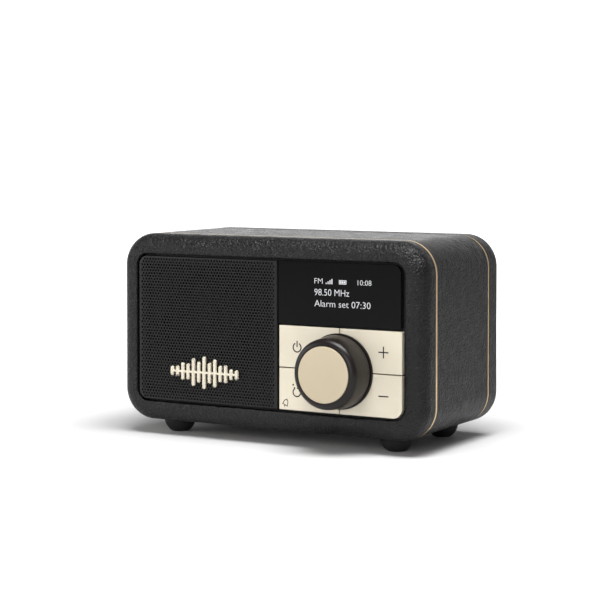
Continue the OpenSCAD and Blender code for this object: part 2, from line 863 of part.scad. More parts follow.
module battery_bracket() {
    floor_h = shell_inset + shell_t + 0.05;
    color("#222222") difference() {
        union() {
            for (x = [cell_x0 + 6, cell_x0 + cell_len - 14])
                translate([x, front_y + cell_d - 10.6, foot_h + floor_h]) cube([6, 21.2, 10.5]);
            translate([cell_x0 + 2, front_y + cell_d - 5, foot_h + floor_h]) cube([cell_len - 8, 10, 0.8]);
        }
        translate([cell_x0 - 1, front_y + cell_d, foot_h + cell_h]) rotate([0, 90, 0])
            cylinder(r = cell_r + 0.1, h = cell_len + 2);
    }
}

// A flat cable with a slack curve between the two boards.
module flex_cable() {
    d0 = board_1 + 2.4;
    d1 = rear_board_0 - 2.4;
    steps = 24;
    t = 0.3;
    function rise(u) = 36 + 5 * (1 - cos(360 * u)) / 2;
    top = [for (i = [0:steps]) [d0 + (d1 - d0) * i / steps, rise(i / steps) + t / 2]];
    low = [for (i = [steps:-1:0]) [d0 + (d1 - d0) * i / steps, rise(i / steps) - t / 2]];
    color("#d8d2c4") translate([39.5, front_y, foot_h]) rotate([90, 0, 90])
        linear_extrude(11) polygon(concat(top, low));
}

// ---------------------------------------------------------------- lead

function unit(v) = v / norm(v);
function lead_point(p) = [p[0], front_y + p[1], foot_h + p[2]];
function lead_dir(pts, i) = unit(pts[min(i + 1, len(pts) - 1)] - pts[max(i - 1, 0)]);
function ring(c, dir, r, n) =
    let (side = unit(cross(dir, [0, 0, 1])), up = cross(side, dir))
    [for (k = [0:n - 1]) c + r * (cos(360 * k / n) * side + sin(360 * k / n) * up)];

module tube(pts, r, n) {
    rings = [for (i = [0:len(pts) - 1]) each ring(pts[i], lead_dir(pts, i), r, n)];
    last = (len(pts) - 1) * n;
    sides = [
        for (i = [0:len(pts) - 2], k = [0:n - 1])
            [i * n + k, i * n + (k + 1) % n, (i + 1) * n + (k + 1) % n, (i + 1) * n + k]
    ];
    polyhedron(rings, concat(sides, [[for (k = [n - 1:-1:0]) k], [for (k = [0:n - 1]) last + k]]));
}

module speaker_lead() {
    color("#8a1f1f") tube([for (p = lead_route) lead_point(p)], lead_r, lead_sides);
    color("#141414") translate([0, 0, -1.6]) tube([for (p = lead_route) lead_point(p)], lead_r, lead_sides);
}

// ---------------------------------------------------------------- aerial

module aerial_socket() {
    color("#2a2a2a") difference() {
        union() {
            rod(aerial_x, aerial_h, 5.9, back_0 - 1.4, back_1 + 0.3);
            rod(aerial_x, aerial_h, 7.2, back_1 + 0.02, back_1 + 0.6);
        }
        rod(aerial_x, aerial_h, 4 + running_gap, back_0 - 2, back_1 + 1);
    }
}

// Places children with the pin's axis upright through their origin.
module at_pin() {
    translate([aerial_x, front_y + whip_d, foot_h + aerial_h]) children();
}

module aerial_base() {
    flange_1 = back_1 + 1.9;
    color("#c5c7c9") difference() {
        union() {
            rod(aerial_x, aerial_h, 4, back_0 - 2, flange_1 - 0.5);
            rod(aerial_x, aerial_h, 5, back_0 - 3.2, back_0 - 1.8);
            rod(aerial_x, aerial_h, 6.2, back_1 + 0.95, flange_1);
            at_pin() for (s = [-1, 1]) translate([0, 0, s * (ear_half + tongue_half + 0.3) / 2]) {
                ear_t = ear_half - tongue_half - 0.3;
                cylinder(r = ear_r, h = ear_t, center = true);
                translate([-ear_r, flange_1 - whip_d - 0.2, -ear_t / 2])
                    cube([2 * ear_r, whip_d - flange_1 + 0.2, ear_t]);
            }
        }
        at_pin() cylinder(r = pin_r + running_gap, h = 20, center = true);
    }
}

module aerial_pin() {
    color("#9a9c9e") at_pin() cylinder(r = pin_r, h = 2 * ear_half, center = true);
}

// A length along -X from x0, behind the cabinet.
module whip(x0, r, length) {
    translate([x0, front_y + whip_d, foot_h + aerial_h]) rotate([0, -90, 0]) cylinder(r = r, h = length);
}

module aerial_tube_1() {
    root = aerial_x - 3.5;
    color("#c5c7c9") difference() {
        union() {
            at_pin() {
                cylinder(r = 2.3, h = 2 * tongue_half, center = true);
                translate([-4.5, -1.9, -tongue_half]) cube([4.5, 3.8, 2 * tongue_half]);
            }
            whip(root, aerial_r, root - tube_end_x);
        }
        at_pin() cylinder(r = pin_r + running_gap, h = 10, center = true);
        whip(aerial_x - 9, aerial_r - tube_wall, aerial_len + 1);
    }
}

module aerial_tube_2() {
    far = tube_end_x - 0.8;
    color("#cfd1d3") difference() {
        whip(far + 93, tube_2_r, 93);
        whip(far + 91, tube_2_r - tube_wall, 92);
    }
}

module aerial_rod() {
    far = tube_end_x - 1.6;
    color("#d8dadc") {
        whip(far + 88, rod_r, 88.5);
        whip(far, aerial_r, 5);
    }
}

// ---------------------------------------------------------------- nodes

cabinet_shell();
cabinet_wrap();
front_frame();
rear_frame();
piping(front_piping_0);  // front_piping
piping(rear_piping_0);  // rear_piping
foot(0);  // foot_front_left
foot(1);  // foot_front_right
foot(2);  // foot_rear_left
foot(3);  // foot_rear_right
foot_screws();
front_panel();
front_panel_screws();
speaker_grille();
emblem();
display_window();
display_module();
button(-1, 1);  // button_power
button(-1, -1);  // button_alarm
button(1, 1);  // button_plus
button(1, -1);  // button_minus
plunger(-1, 1);  // plunger_power
plunger(-1, -1);  // plunger_alarm
plunger(1, 1);  // plunger_plus
plunger(1, -1);  // plunger_minus
tact_switches();
front_board();
board_screws();
encoder_body();
encoder_rotor();
encoder_shaft();
encoder_nut();
knob_collar();
knob_body();
knob_face();
speaker_basket();
speaker_magnet();
speaker_cone();
speaker_dust_cap();
speaker_surround();
voice_coil();
speaker_screws();
rear_panel();
rear_panel_screws();
rear_gasket();
radiator_surround();
radiator_plate();
usb_socket();
headphone_socket();
main_board();
battery_cell();
battery_bracket();
flex_cable();
speaker_lead();
aerial_socket();
aerial_base();
aerial_pin();
aerial_tube_1();
aerial_tube_2();
aerial_rod();
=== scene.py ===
"""The visual model of a tabletop radio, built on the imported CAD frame.

Lengths are written in millimetres and turned into metres by MM. Depths (d) are measured from the cabinet's
front plane to the rear, heights (h) from its underside, as in the CAD model.
"""

import json
import math

import bmesh
import bpy
from mathutils import Matrix, Vector
from mathutils.geometry import tessellate_polygon


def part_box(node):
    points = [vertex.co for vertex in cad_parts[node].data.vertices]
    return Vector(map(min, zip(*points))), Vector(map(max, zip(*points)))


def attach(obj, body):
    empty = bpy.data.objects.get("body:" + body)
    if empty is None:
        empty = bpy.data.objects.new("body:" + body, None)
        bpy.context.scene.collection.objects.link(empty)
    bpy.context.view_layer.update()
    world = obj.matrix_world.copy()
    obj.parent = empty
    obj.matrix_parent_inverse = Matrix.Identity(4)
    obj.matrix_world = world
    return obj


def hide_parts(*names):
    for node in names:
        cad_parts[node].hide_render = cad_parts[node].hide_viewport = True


MM = 0.001
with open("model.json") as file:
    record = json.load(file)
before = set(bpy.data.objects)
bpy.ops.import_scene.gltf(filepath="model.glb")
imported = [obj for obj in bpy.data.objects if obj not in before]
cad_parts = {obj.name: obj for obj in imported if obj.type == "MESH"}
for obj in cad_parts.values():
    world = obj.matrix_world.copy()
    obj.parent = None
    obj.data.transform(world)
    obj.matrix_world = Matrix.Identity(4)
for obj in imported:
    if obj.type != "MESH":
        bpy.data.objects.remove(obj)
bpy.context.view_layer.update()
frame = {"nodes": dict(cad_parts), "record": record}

# ---------------------------------------------------------------- places taken from the frame

frame_lo, frame_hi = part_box("front_frame")
rear_lo, rear_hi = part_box("rear_frame")
FRONT = frame_lo.y
REAR = rear_hi.y
BASE = frame_lo.z
HALF_W = frame_hi.x
HALF_H = (frame_hi.z - frame_lo.z) / 2
MID_Z = (frame_hi.z + frame_lo.z) / 2

CORNER_R = 14 * MM
FRONT_EDGE_R = 6.8 * MM
REAR_EDGE_R = 6.4 * MM
OPENING_INSET = 8.65 * MM
HEM_R = 0.35 * MM

# ---------------------------------------------------------------- mesh helpers


def new_object(name, bm, materials, smooth_angle=40):
    """Turns a bmesh into an object whose edges sharper than the angle stay crisp."""
    bmesh.ops.recalc_face_normals(bm, faces=bm.faces)
    mesh = bpy.data.meshes.new(name)
    bm.to_mesh(mesh)
    bm.free()
    for material in materials:
        mesh.materials.append(material)
    mesh.shade_smooth()
    mesh.set_sharp_from_angle(angle=math.radians(smooth_angle))
    piece = bpy.data.objects.new(name, mesh)
    bpy.context.scene.collection.objects.link(piece)
    return piece


def place(piece, body, slot, *nodes):
    """Makes a piece ride on a body and hides the CAD nodes that it stands for. The slot argument is not used."""
    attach(piece, body)
    if nodes:
        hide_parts(*nodes)
    return piece


def arc(cx, cy, r, a0, a1, steps):
    """Points of an arc, from angle a0 to a1 in degrees."""
    angles = [math.radians(a0 + (a1 - a0) * i / steps) for i in range(steps + 1)]
    return [(cx + r * math.cos(a), cy + r * math.sin(a)) for a in angles]


def rounded(corners, steps=8):
    """An outline from (x, z, r) corners, each rounded by its own radius."""
    points = []
    for i, (x, z, r) in enumerate(corners):
        corner = Vector((x, z))
        if r <= 0:
            points.append((x, z))
            continue
        to_last = (Vector(corners[i - 1][:2]) - corner).normalized()
        to_next = (Vector(corners[(i + 1) % len(corners)][:2]) - corner).normalized()
        half = to_last.angle(to_next) / 2
        centre = corner + (to_last + to_next).normalized() * r / math.sin(half)
        start = corner + to_last * r / math.tan(half) - centre
        turn = start.angle_signed(corner + to_next * r / math.tan(half) - centre)
        for k in range(steps + 1):
            angle = -turn * k / steps
            spun = Matrix.Rotation(angle, 2) @ start
            points.append(tuple(centre + spun))
    return points


def rectangle(x0, x1, z0, z1, r=0.0):
    """A rectangle's corners, anticlockwise, for rounded()."""
    return [(x0, z0, r), (x1, z0, r), (x1, z1, r), (x0, z1, r)]


def signed_area(loop):
    return sum(a[0] * b[1] - b[0] * a[1] for a, b in zip(loop, loop[1:] + loop[:1])) / 2


def inset(loop, distance):
    """Moves a closed outline to its left by a distance, along the mitred corner directions."""
    moved = []
    for i, here in enumerate(loop):
        here = Vector(here)
        ahead = (Vector(loop[(i + 1) % len(loop)]) - here).normalized()
        behind = (here - Vector(loop[i - 1])).normalized()
        left = Vector((-ahead.y - behind.y, ahead.x + behind.x))
        left = left.normalized() / max(0.3, math.cos(ahead.angle(behind) / 2))
        moved.append(tuple(here + left * distance))
    return moved


def add_plate(bm, outer, holes, front, back, bevel, steps=3):
    """Adds a plate in the XZ plane, between two depths in y, with a rounded edge at the first."""
    inwards = 1 if back > front else -1
    loops = [outer if signed_area(outer) > 0 else outer[::-1]]
    loops += [hole if signed_area(hole) < 0 else hole[::-1] for hole in holes]
    levels = [(bevel * (1 - math.sin(a)), front + inwards * bevel * (1 - math.cos(a)))
              for a in (math.pi / 2 * i / steps for i in range(steps + 1))] if bevel else [(0, front)]
    levels.append((0, back))
    for level in (levels[0], levels[-1]):
        flat = [inset(loop, level[0]) if level[0] else loop for loop in loops]
        cap = [[Vector((x, z, 0)) for x, z in loop] for loop in flat]
        verts = [bm.verts.new((x, level[1], z)) for loop in flat for x, z in loop]
        for tri in tessellate_polygon(cap):
            bm.faces.new([verts[i] for i in tri])
    for loop in loops:
        rings = []
        for offset, y in levels:
            shape = inset(loop, offset) if offset else loop
            rings.append([bm.verts.new((x, y, z)) for x, z in shape])
        for low, high in zip(rings, rings[1:]):
            for i in range(len(loop)):
                j = (i + 1) % len(loop)
                bm.faces.new((low[i], low[j], high[j], high[i]))


def plate(name, outer, holes, front, back, bevel, material, steps=3):
    bm = bmesh.new()
    add_plate(bm, outer, holes, front, back, bevel, steps)
    bmesh.ops.remove_doubles(bm, verts=bm.verts, dist=1e-7)
    piece = new_object(name, bm, [material])
    even_flats(piece)
    return piece


def even_flats(piece):
    """Keeps large flat faces flat in the shading, beside small rounded edges."""
    normals = piece.modifiers.new("flats", "WEIGHTED_NORMAL")
    normals.keep_sharp = True


def lathe(name, profile, origin, axis, material, segments=96):
    """Turns a profile of (radius, distance along the axis) round an axis."""
    bm = bmesh.new()
    axis = Vector(axis).normalized()
    side = axis.orthogonal().normalized()
    other = axis.cross(side)
    rings = []
    for r, t in profile:
        centre = Vector(origin) + axis * t
        if r < 1e-9:
            rings.append([bm.verts.new(centre)] * segments)
            continue
        turns = [2 * math.pi * k / segments for k in range(segments)]
        rings.append([bm.verts.new(centre + r * (math.cos(a) * side + math.sin(a) * other)) for a in turns])
    for low, high in zip(rings, rings[1:]):
        for i in range(segments):
            j = (i + 1) % segments
            corners = list(dict.fromkeys((low[i], low[j], high[j], high[i])))
            if len(corners) > 2:
                bm.faces.new(corners)
    return new_object(name, bm, [material])


def frame_loop(inset_by, steps=20):
    """The cabinet's outline, moved inwards by a distance."""
    r = max(CORNER_R - inset_by, 0.3 * MM)
    half_w = HALF_W - inset_by
    half_h = HALF_H - inset_by
    loop = []
    for sx, sz, start in ((1, 1, 0), (-1, 1, 90), (-1, -1, 180), (1, -1, 270)):
        loop += arc(sx * (half_w - r), MID_Z + sz * (half_h - r), r, start, start + 90, steps)
    return loop


def frame_sweep(name, profile, material):
    """Sweeps a closed profile of (inset, y) round the cabinet's outline."""
    bm = bmesh.new()
    rings = [[bm.verts.new((x, y, z)) for x, z in frame_loop(inset_by)] for inset_by, y in profile]
    for low, high in zip(rings, rings[1:] + rings[:1]):
        for i in range(len(low)):
            j = (i + 1) % len(low)
            bm.faces.new((low[i], low[j], high[j], high[i]))
    return new_object(name, bm, [material])


# ---------------------------------------------------------------- materials


class Shader:
    """A Principled material and the few nodes that most finishes share."""

    def __init__(self, name, color, roughness, metallic=0.0, specular=0.5):
        self.material = bpy.data.materials.new(name)
        self.material.use_nodes = True
        self.nodes = self.material.node_tree.nodes
        self.links = self.material.node_tree.links
        self.bsdf = self.nodes["Principled BSDF"]
        self.color = color
        self.roughness = roughness
        self.set("Base Color", (*color, 1))
        self.set("Roughness", roughness)
        self.set("Metallic", metallic)
        self.set("Specular IOR Level", specular)
        self.coords = self.nodes.new("ShaderNodeTexCoord").outputs["Object"]

    def set(self, socket, value):
        self.bsdf.inputs[socket].default_value = value

    def link(self, output, socket):
        self.links.new(output, self.bsdf.inputs[socket])

    def stretched(self, x, y, z):
        node = self.nodes.new("ShaderNodeMapping")
        node.inputs["Scale"].default_value = (x, y, z)
        self.links.new(self.coords, node.inputs["Vector"])
        return node.outputs["Vector"]

    def noise(self, cell_mm, detail=3.0, vector=None):
        node = self.nodes.new("ShaderNodeTexNoise")
        node.inputs["Scale"].default_value = 1 / (cell_mm * MM)
        node.inputs["Detail"].default_value = detail
        self.links.new(vector or self.coords, node.inputs["Vector"])
        return node.outputs["Fac"]

    def remap(self, value, low, high, from_low=0.3, from_high=0.7):
        node = self.nodes.new("ShaderNodeMapRange")
        self.links.new(value, node.inputs["Value"])
        node.inputs["From Min"].default_value = from_low
        node.inputs["From Max"].default_value = from_high
        node.inputs["To Min"].default_value = low
        node.inputs["To Max"].default_value = high
        return node.outputs["Result"]

    def vary_color(self, value, other):
        node = self.nodes.new("ShaderNodeMix")
        node.data_type = "RGBA"
        node.inputs["A"].default_value = (*self.color, 1)
        node.inputs["B"].default_value = (*other, 1)
        self.links.new(self.remap(value, 0, 1), node.inputs["Factor"])
        self.link(node.outputs["Result"], "Base Color")

    def vary_roughness(self, value, spread):
        self.link(self.remap(value, self.roughness - spread, self.roughness + spread), "Roughness")

    def bump(self, height, depth_mm, strength=1.0):
        node = self.nodes.new("ShaderNodeBump")
        node.inputs["Distance"].default_value = depth_mm * MM
        node.inputs["Strength"].default_value = strength
        self.links.new(height, node.inputs["Height"])
        self.link(node.outputs["Normal"], "Normal")


def leather():
    """Fine pebble grain: rounded cells with creases between them, and a slow change of gloss."""
    s = Shader("leatherette", (0.004, 0.004, 0.0041), 0.41, specular=0.31)
    bend = s.nodes.new("ShaderNodeTexNoise")
    bend.inputs["Scale"].default_value = 1 / (1.8 * MM)
    s.links.new(s.coords, bend.inputs["Vector"])
    shift = s.nodes.new("ShaderNodeVectorMath")
    shift.operation = "MULTIPLY_ADD"
    s.links.new(bend.outputs["Color"], shift.inputs[0])
    shift.inputs[1].default_value = (2 * MM,) * 3
    s.links.new(s.coords, shift.inputs[2])
    cells = s.nodes.new("ShaderNodeTexVoronoi")
    cells.feature = "DISTANCE_TO_EDGE"
    cells.inputs["Scale"].default_value = 1 / (1.5 * MM)
    s.links.new(shift.outputs["Vector"], cells.inputs["Vector"])
    pebble = s.remap(cells.outputs["Distance"], 0, 1, 0.0, 0.32)
    fine = s.remap(s.noise(2.6, 5), 0, 0.9)
    height = s.nodes.new("ShaderNodeMath")
    height.operation = "ADD"
    s.links.new(pebble, height.inputs[0])
    s.links.new(fine, height.inputs[1])
    s.bump(height.outputs["Value"], 0.2, 1.0)
    s.vary_color(cells.outputs["Distance"], (0.006, 0.006, 0.0062))
    s.vary_roughness(s.noise(5, 3), 0.06)
    return s.material


def piping_metal():
    s = Shader("piping_metal", (0.78, 0.58, 0.33), 0.46, metallic=0.85)
    s.vary_roughness(s.noise(0.8), 0.06)
    s.vary_color(s.noise(6), (0.84, 0.64, 0.38))
    s.bump(s.noise(0.3), 0.008)
    return s.material


def painted_metal():
    s = Shader("grille_paint", (0.0105, 0.0105, 0.0105), 0.42, specular=0.28)
    s.vary_color(s.noise(0.25), (0.0145, 0.0145, 0.0145))
    s.vary_roughness(s.noise(0.5), 0.06)
    s.bump(s.noise(0.12, 2), 0.01)
    return s.material


def ivory():
    s = Shader("ivory_plastic", (0.74, 0.68, 0.55), 0.36, specular=0.4)
    s.vary_color(s.noise(9, 2), (0.715, 0.652, 0.522))
    s.vary_roughness(s.noise(0.4), 0.05)
    s.bump(s.noise(0.14, 2), 0.006)
    s.set("Subsurface Weight", 0.08)
    s.set("Subsurface Radius", (1.2 * MM, 0.9 * MM, 0.6 * MM))
    return s.material


def dark_glass():
    s = Shader("display_glass", (0.0055, 0.0055, 0.0057), 0.12, specular=0.1)
    s.vary_roughness(s.noise(20, 2), 0.03)
    s.bump(s.noise(9, 1), 0.004)
    return s.material


def knob_gloss():
    s = Shader("knob_gloss", (0.0085, 0.006, 0.0056), 0.34, specular=0.3)
    s.vary_roughness(s.noise(3), 0.03)
    s.vary_color(s.noise(2), (0.010, 0.0072, 0.0066))
    return s.material


def brushed(name, color, other, across, roughness=0.34, metallic=1.0):
    """Metal with fine scratches: across is the mapping scale that makes them long one way."""
    s = Shader(name, color, roughness, metallic)
    lines = s.noise(0.12, 4, s.stretched(*across))
    s.vary_color(lines, other)
    s.vary_roughness(lines, 0.06)
    s.bump(lines, 0.006)
    return s.material


def plain(name, color, roughness, cell_mm=0.3, depth_mm=0.012, metallic=0.0, specular=0.5, tone=1.25):
    """Moulded plastic, rubber, coated metal or card: a slight mottle, uneven gloss and a fine texture."""
    s = Shader(name, color, roughness, metallic, specular)
    s.vary_color(s.noise(cell_mm * 12), tuple(min(1.0, c * tone) for c in color))
    s.vary_roughness(s.noise(cell_mm * 2), 0.05)
    s.bump(s.noise(cell_mm, 2), depth_mm)
    return s.material


def glow(name, color, strength):
    s = Shader(name, color, 0.5)
    s.set("Emission Color", (*color, 1))
    s.set("Emission Strength", strength)
    return s.material


LEATHER = leather()
PIPING = piping_metal()
GRILLE = painted_metal()
IVORY = ivory()
GLASS = dark_glass()
KNOB = knob_gloss()
DISC = brushed("disc_metal", (0.55, 0.47, 0.335), (0.585, 0.50, 0.36), (1, 1, 0.03), 0.55, 0.35)
STEEL = brushed("plated_steel", (0.55, 0.55, 0.54), (0.66, 0.66, 0.65), (1, 1, 1), 0.3)
CHROME = plain("aerial_chrome", (0.72, 0.72, 0.73), 0.2, 1.5, 0.002, metallic=1.0, tone=1.06)
BLACK_ZINC = brushed("black_zinc", (0.05, 0.05, 0.05), (0.09, 0.09, 0.09), (1, 1, 1), 0.4)
PLASTIC = plain("black_plastic", (0.015, 0.015, 0.016), 0.5)
RUBBER = plain("foot_rubber", (0.012, 0.012, 0.012), 0.72, 0.25, 0.02, specular=0.3)
PCB = plain("solder_mask", (0.02, 0.12, 0.05), 0.35, 1.5, 0.02)
SWITCH = plain("switch_plastic", (0.12, 0.12, 0.12), 0.5)
MDF = plain("fibreboard", (0.30, 0.20, 0.12), 0.8, 0.3, 0.05)
FERRITE = plain("ferrite", (0.03, 0.03, 0.032), 0.6, 0.4, 0.03)
CONE = plain("cone_fibre", (0.014, 0.014, 0.015), 0.75, 0.6, 0.06)
COPPER = brushed("copper_wire", (0.75, 0.36, 0.17), (0.62, 0.28, 0.12), (1, 0.05, 1), 0.3)
CELL = plain("cell_wrap", (0.03, 0.15, 0.42), 0.3, 2, 0.01)
FILM = plain("flex_film", (0.72, 0.66, 0.54), 0.4, 1, 0.01)
SHEATH = plain("lead_sheath", (0.30, 0.015, 0.015), 0.45, 0.4, 0.01)
INK = plain("symbol_ink", (0.009, 0.008, 0.007), 0.5, 0.2, 0.004, specular=0.3)
SCREEN = glow("display_light", (0.52, 0.53, 0.55), 0.45)

NODE_FINISH = {
    "cabinet_board": MDF, "piping_metal": PIPING, "foot_rubber": RUBBER, "screw_steel": STEEL,
    "screw_black": BLACK_ZINC, "black_plastic": PLASTIC, "gloss_black": GLASS, "grille_metal": GRILLE,
    "ivory": IVORY, "switch_plastic": SWITCH, "board_green": PCB, "part_steel": STEEL, "knob_black": KNOB,
    "disc_metal": DISC, "basket_steel": BLACK_ZINC, "magnet_ferrite": FERRITE, "cone_fibre": CONE,
    "surround_rubber": RUBBER, "copper": COPPER, "radiator_weight": PLASTIC, "cell_wrap": CELL,
    "flex_film": FILM, "lead_sheath": SHEATH, "aerial_chrome": CHROME, "leatherette": LEATHER,
}


def finish_cad_nodes():
    """Gives every CAD node the procedural material of its slot."""
    slots = {part["node"]: part["material_slot"] for part in frame["record"]["subparts"]}
    for name, node in frame["nodes"].items():
        node.data.materials.clear()
        node.data.materials.append(NODE_FINISH[slots[name]])
        node.data.shade_smooth()
        node.data.set_sharp_from_angle(angle=math.radians(35))


# ---------------------------------------------------------------- cabinet


def hem(inset_at, y, towards, steps=5):
    """A rolled leather edge at a groove, as (inset, y) points from the outer face down into the groove."""
    return [(inset_at + HEM_R * (1 - math.cos(math.radians(90 * i / steps))),
             y + towards * HEM_R * (math.sin(math.radians(90 * i / steps)) - 1))
            for i in range(steps + 1)]


def edge_round(radius, plane, inwards, steps=14):
    """The large roundover from the outer face to the front or rear plane."""
    turns = [math.radians(90 * i / steps) for i in range(steps + 1)]
    return [(radius * (1 - math.cos(a)), plane + inwards * radius * (1 - math.sin(a))) for a in turns]


def leather_frame(name, node, plane, groove, inwards, radius, depth):
    """The front or rear frame, from the groove beside the piping to the inside of the opening."""
    lip_r = 0.6 * MM
    groove_depth = 1.2 * MM
    lip = [(OPENING_INSET - lip_r * (1 - math.sin(a)), plane + inwards * lip_r * (1 - math.cos(a)))
           for a in (math.radians(90 * i / 5) for i in range(6))]
    profile = [(groove_depth, groove)]
    profile += hem(0, groove, -inwards)[::-1]
    profile += edge_round(radius, plane, inwards)
    profile += lip
    profile += [(OPENING_INSET, plane + inwards * depth), (groove_depth, plane + inwards * depth)]
    place(frame_sweep(name, profile, LEATHER), "cabinet", "leatherette", node)


def leather_wrap(front_groove, rear_groove):
    """The middle of the cabinet's cover, a hair lower than the frames, with rolled edges."""
    skin = 0.04 * MM
    under = 1.2 * MM
    profile = [(under, front_groove)]
    profile += hem(skin, front_groove, 1)[::-1]
    profile += hem(skin, rear_groove, -1)
    profile += [(under, rear_groove)]
    place(frame_sweep("cabinet_wrap_leather", profile, LEATHER), "cabinet", "leatherette", "cabinet_wrap")


def piping(name, node, sunk):
    """A rounded metal bead with a narrow dark groove each side, sunk a little below the leather."""
    lo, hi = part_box(node)
    middle = (lo.y + hi.y) / 2
    half = (hi.y - lo.y) / 2 - 0.05 * MM
    crown = 0.16 * MM
    bead = [(sunk + crown * (1 - math.cos(a)), middle + half * math.sin(a))
            for a in (math.radians(-90 + 180 * i / 16) for i in range(17))]
    bead += [(1.2 * MM, middle + half), (1.2 * MM, middle - half)]
    place(frame_sweep(name, bead, PIPING), "cabinet", "piping_metal", node)


def cabinet():
    front_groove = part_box("front_piping")
    rear_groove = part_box("rear_piping")
    slack = 0.05 * MM
    leather_frame("front_frame_leather", "front_frame", FRONT, front_groove[0].y - slack, 1,
                  FRONT_EDGE_R, 4 * MM)
    leather_frame("rear_frame_leather", "rear_frame", REAR, rear_groove[1].y + slack, -1,
                  REAR_EDGE_R, 5.1 * MM)
    leather_wrap(front_groove[1].y + slack, rear_groove[0].y - slack)
    piping("front_piping_bead", "front_piping", 0)
    piping("rear_piping_bead", "rear_piping", 0.12 * MM)


# ---------------------------------------------------------------- front


def speaker_grille():
    """A pressed plate with staggered round holes."""
    lo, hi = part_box("speaker_grille")
    pitch_x = 1.45 * MM
    pitch_z = 1.26 * MM
    hole_r = 0.55 * MM
    margin = 1.3 * MM
    corner = 4 * MM
    sides = 10
    columns = int((hi.x - lo.x - 2 * margin) / pitch_x - 0.5)
    rows = int((hi.z - lo.z - 2 * margin) / pitch_z)
    start_x = (lo.x + hi.x - (columns + 0.5) * pitch_x) / 2
    start_z = (lo.z + hi.z - rows * pitch_z) / 2
    holes = []
    for row in range(rows + 1):
        z = start_z + row * pitch_z
        for column in range(columns + 1):
            x = start_x + (column + 0.5 * (row % 2)) * pitch_x
            from_corner = Vector((max(lo.x + corner - x, 0), max(abs(z - MID_Z) - (hi.z - MID_Z - corner), 0)))
            if from_corner.length < corner - margin + hole_r:
                holes.append(arc(x, z, hole_r, 0, 360 - 360 / sides, sides - 1))
    outline = rounded([(lo.x, lo.z, corner), (hi.x, lo.z, 0.3 * MM), (hi.x, hi.z, 0.3 * MM),
                       (lo.x, hi.z, corner)])
    bm = bmesh.new()
    add_plate(bm, outline, [], lo.y, hi.y, 0.45 * MM, 5)
    bmesh.ops.delete(bm, geom=[f for f in bm.faces if len(f.verts) == 3], context="FACES")
    face = inset(outline, 0.45 * MM)
    loops = [face] + [hole[::-1] for hole in holes]
    verts = [bm.verts.new((x, lo.y, z)) for loop in loops for x, z in loop]
    for tri in tessellate_polygon([[Vector((x, z, 0)) for x, z in loop] for loop in loops]):
        bm.faces.new([verts[i] for i in tri])
    for hole in holes:
        rings = [[bm.verts.new((x, y, z)) for x, z in hole] for y in (lo.y, lo.y + 0.8 * MM)]
        for i in range(sides):
            j = (i + 1) % sides
            bm.faces.new((rings[0][i], rings[0][j], rings[1][j], rings[1][i]))
    bmesh.ops.remove_doubles(bm, verts=bm.verts, dist=1e-7)
    piece = new_object("speaker_grille_perforated", bm, [GRILLE])
    place(piece, "cabinet", "grille_metal", "speaker_grille")


def display_window():
    lo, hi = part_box("display_window")
    small = 0.3 * MM
    outline = rounded([(lo.x, lo.z, small), (hi.x, lo.z, small), (hi.x, hi.z, 4 * MM), (lo.x, hi.z, small)])
    piece = plate("display_window_glass", outline, [], lo.y, hi.y, 0.2 * MM, GLASS)
    place(piece, "cabinet", "gloss_black", "display_window")


def text_mesh(bm, words, x, z, size, width, y):
    """Adds a line of text, scaled to a given width, in the plane of the display."""
    curve = bpy.data.curves.new("words", "FONT")
    curve.body = words
    curve.size = size
    curve.resolution_u = 3
    curve.offset = -0.04 * MM
    holder = bpy.data.objects.new("words", curve)
    mesh = bpy.data.meshes.new_from_object(holder)
    left = min(v.co.x for v in mesh.vertices)
    right = max(v.co.x for v in mesh.vertices)
    stretch = width / (right - left)
    for v in mesh.vertices:
        v.co = Vector((x + (v.co.x - left) * stretch, y, z + v.co.y))
    bm.from_mesh(mesh)
    bpy.data.meshes.remove(mesh)
    bpy.data.objects.remove(holder)
    bpy.data.curves.remove(curve)


def display_picture():
    """A station's frequency, the time, and signal and battery symbols, all generic."""
    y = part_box("display_window")[0].y - 0.02 * MM
    left = 23.7 * MM
    bm = bmesh.new()
    text_mesh(bm, "FM", left, BASE + 63.9 * MM, 3.3 * MM, 3.9 * MM, y)
    text_mesh(bm, "10:08", 44.2 * MM, BASE + 63.9 * MM, 3.2 * MM, 6.4 * MM, y)
    text_mesh(bm, "98.50 MHz", left, BASE + 59.0 * MM, 4.0 * MM, 16.5 * MM, y)
    text_mesh(bm, "Alarm set 07:30", left, BASE + 54.3 * MM, 4.0 * MM, 26.5 * MM, y)
    for i in range(4):
        x = left + 5.4 * MM + i * 0.9 * MM
        top = BASE + 64.4 * MM + i * 0.55 * MM
        add_plate(bm, rectangle_loop(x, x + 0.5 * MM, BASE + 63.9 * MM, top), [], y, y + 0.01 * MM, 0)
    shell = rectangle_loop(35.4 * MM, 38.9 * MM, BASE + 64.0 * MM, BASE + 65.7 * MM)
    hollow = rectangle_loop(35.7 * MM, 38.6 * MM, BASE + 64.3 * MM, BASE + 65.4 * MM)
    add_plate(bm, shell, [hollow], y, y + 0.01 * MM, 0)
    for x in (35.9, 36.8, 37.7):
        bar = rectangle_loop(x * MM, (x + 0.7) * MM, BASE + 64.45 * MM, BASE + 65.25 * MM)
        add_plate(bm, bar, [], y, y + 0.01 * MM, 0)
    piece = new_object("display_picture", bm, [SCREEN])
    place(piece, "cabinet", "gloss_black")


def rectangle_loop(x0, x1, z0, z1):
    return [(x0, z0), (x1, z0), (x1, z1), (x0, z1)]


# ---------------------------------------------------------------- back and small parts


def stadium(cx, cz, w, h, steps=10):
    run = (w - h) / 2
    return arc(cx + run, cz, h / 2, -90, 90, steps) + arc(cx - run, cz, h / 2, 90, 270, steps)


